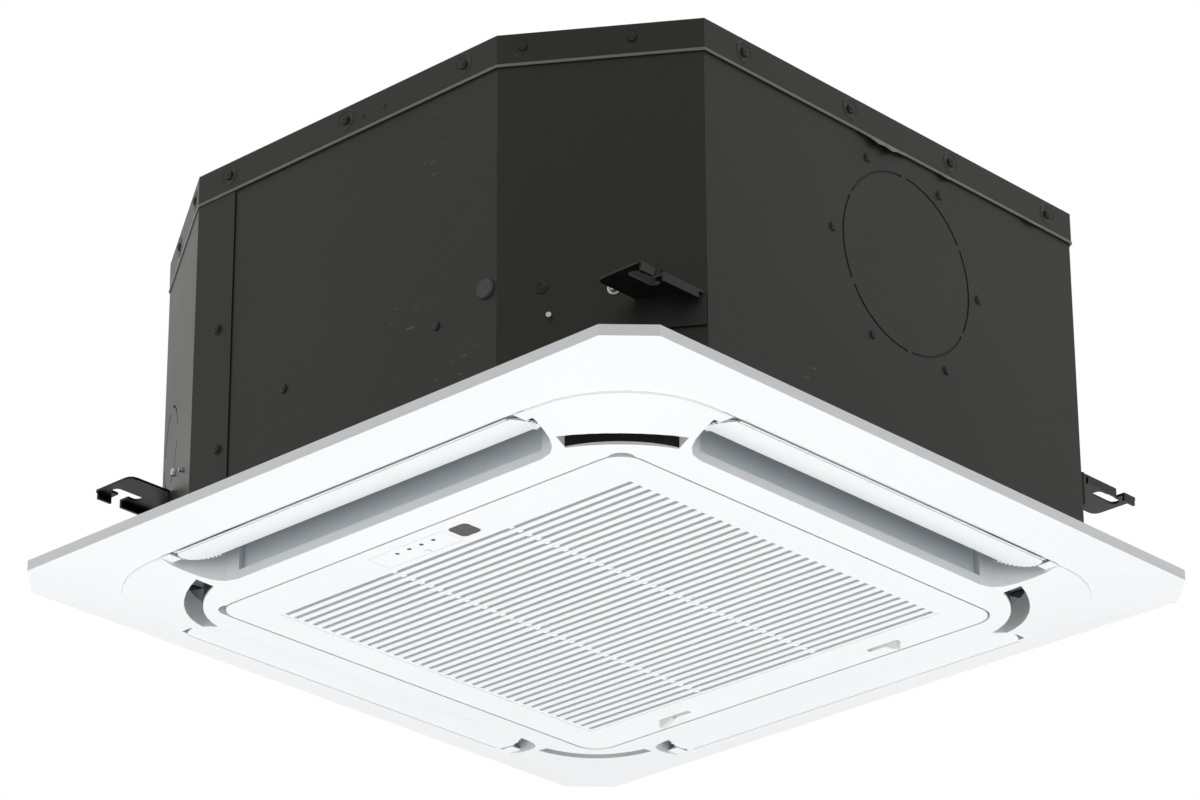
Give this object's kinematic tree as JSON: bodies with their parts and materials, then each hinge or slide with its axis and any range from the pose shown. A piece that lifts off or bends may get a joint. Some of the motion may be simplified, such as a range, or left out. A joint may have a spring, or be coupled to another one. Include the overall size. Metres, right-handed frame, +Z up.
{
  "type": "ceiling cassette air conditioner",
  "caption": "Ceiling cassette air conditioner: square domed panel with swing flaps at its air outlets, hinged slatted intake grille, eight-sided sheet metal body on hanging brackets.",
  "frame": {"origin": "middle of the ceiling plane, which is the upper face of the panel's rim, on the fan's axis", "axes": "+Z up into the ceiling void; -Y is the display side of the panel; X runs along the grille's slots"},
  "size_m": [0.647, 0.647, 0.3281],
  "materials": {
    "white_plastic": "satin white moulding",
    "pale_plastic": "pale moulding",
    "smoke_window": "near-black gloss",
    "casing_paint": "dark olive-black satin sheet",
    "bracket_paint": "black paint",
    "duct_foam": "blue-grey closed-cell foam",
    "gasket_foam": "dark soft foam",
    "fins": "thin parallel fins",
    "copper": "drawn copper tube",
    "brass": "turned brass",
    "plated_steel": "zinc-plated sheet",
    "grey_plastic": "grey moulding",
    "dark_plastic": "dark moulding",
    "circuit": "green board"
  },
  "bodies": {
    "root": {"panel_frame": "white_plastic", "flap_motor_front": "pale_plastic", "flap_motor_right": "pale_plastic", "flap_motor_rear": "pale_plastic", "flap_motor_left": "pale_plastic", "panel_screw_1": "plated_steel", "panel_screw_2": "plated_steel", "panel_screw_3": "plated_steel", "panel_screw_4": "plated_steel", "top_plate": "casing_paint", "casing_shell": "casing_paint", "pipe_cover_plate": "casing_paint", "casing_plug": "dark_plastic", "hanging_bracket_front_right": "bracket_paint", "hanging_bracket_front_left": "bracket_paint", "hanging_bracket_rear_right": "bracket_paint", "hanging_bracket_rear_left": "bracket_paint", "panel_gasket": "gasket_foam", "foam_liner": "duct_foam", "drain_pan": "duct_foam", "drain_plug": "dark_plastic", "evaporator_coil": "fins", "coil_end_plate_front": "plated_steel", "coil_end_plate_left": "plated_steel", "header_pipe": "copper", "gas_pipe": "copper", "liquid_pipe": "copper", "gas_flare_nut": "brass", "liquid_flare_nut": "brass", "drain_pump": "dark_plastic", "pump_bracket": "plated_steel", "float_switch": "grey_plastic", "drain_outlet": "grey_plastic", "bell_mouth": "grey_plastic", "fan_motor": "dark_plastic", "motor_mount": "plated_steel", "control_box": "plated_steel", "control_box_cover": "plated_steel", "circuit_board": "circuit", "terminal_block": "pale_plastic"},
    "fan": {"impeller": "grey_plastic", "fan_nut": "plated_steel", "motor_shaft": "plated_steel"},
    "grille": {"intake_grille": "white_plastic", "air_filter": "pale_plastic", "display_cover": "white_plastic", "receiver_window": "smoke_window", "light_pipe": "pale_plastic", "display_board": "circuit"},
    "latch_right_body": {"latch_right": "pale_plastic"},
    "latch_left_body": {"latch_left": "pale_plastic"},
    "button": {"display_button": "white_plastic"},
    "float_body": {"float": "pale_plastic"},
    "flap_front_body": {"flap_front": "white_plastic"},
    "flap_right_body": {"flap_right": "white_plastic"},
    "flap_rear_body": {"flap_rear": "white_plastic"},
    "flap_left_body": {"flap_left": "white_plastic"}
  },
  "joints": [
    {"name": "fan_spin", "type": "hinge", "parent": "root", "child": "fan", "pos_m": [0, 0, 0.16], "axis": [0, 0, 1], "continuous": true},
    {"name": "grille_hinge", "type": "hinge", "parent": "root", "child": "grille", "pos_m": [0, -0.1975, -0.0247], "axis": [-1, 0, 0], "range_deg": [0, 90]},
    {"name": "latch_right_slide", "type": "slide", "parent": "grille", "child": "latch_right_body", "axis": [-1, 0, 0], "range_m": [0, 0.014]},
    {"name": "latch_left_slide", "type": "slide", "parent": "grille", "child": "latch_left_body", "axis": [1, 0, 0], "range_m": [0, 0.014]},
    {"name": "button_press", "type": "slide", "parent": "grille", "child": "button", "axis": [0, 0, 1], "range_m": [0, 0.0008], "stiffness_N_per_m": 200, "springref_m": -0.0005},
    {"name": "float_rise", "type": "slide", "parent": "root", "child": "float_body", "axis": [0, 0, 1], "range_m": [0, 0.012]},
    {"name": "flap_front_hinge", "type": "hinge", "parent": "root", "child": "flap_front_body", "pos_m": [0, -0.2798, -0.0135], "axis": [1, 0, 0], "range_deg": [-22, 20]},
    {"name": "flap_right_hinge", "type": "hinge", "parent": "root", "child": "flap_right_body", "pos_m": [0.2798, 0, -0.0135], "axis": [0, 1, 0], "range_deg": [-22, 20]},
    {"name": "flap_rear_hinge", "type": "hinge", "parent": "root", "child": "flap_rear_body", "pos_m": [0, 0.2798, -0.0135], "axis": [-1, 0, 0], "range_deg": [-22, 20]},
    {"name": "flap_left_hinge", "type": "hinge", "parent": "root", "child": "flap_left_body", "pos_m": [-0.2798, 0, -0.0135], "axis": [0, -1, 0], "range_deg": [-22, 20]}
  ]
}
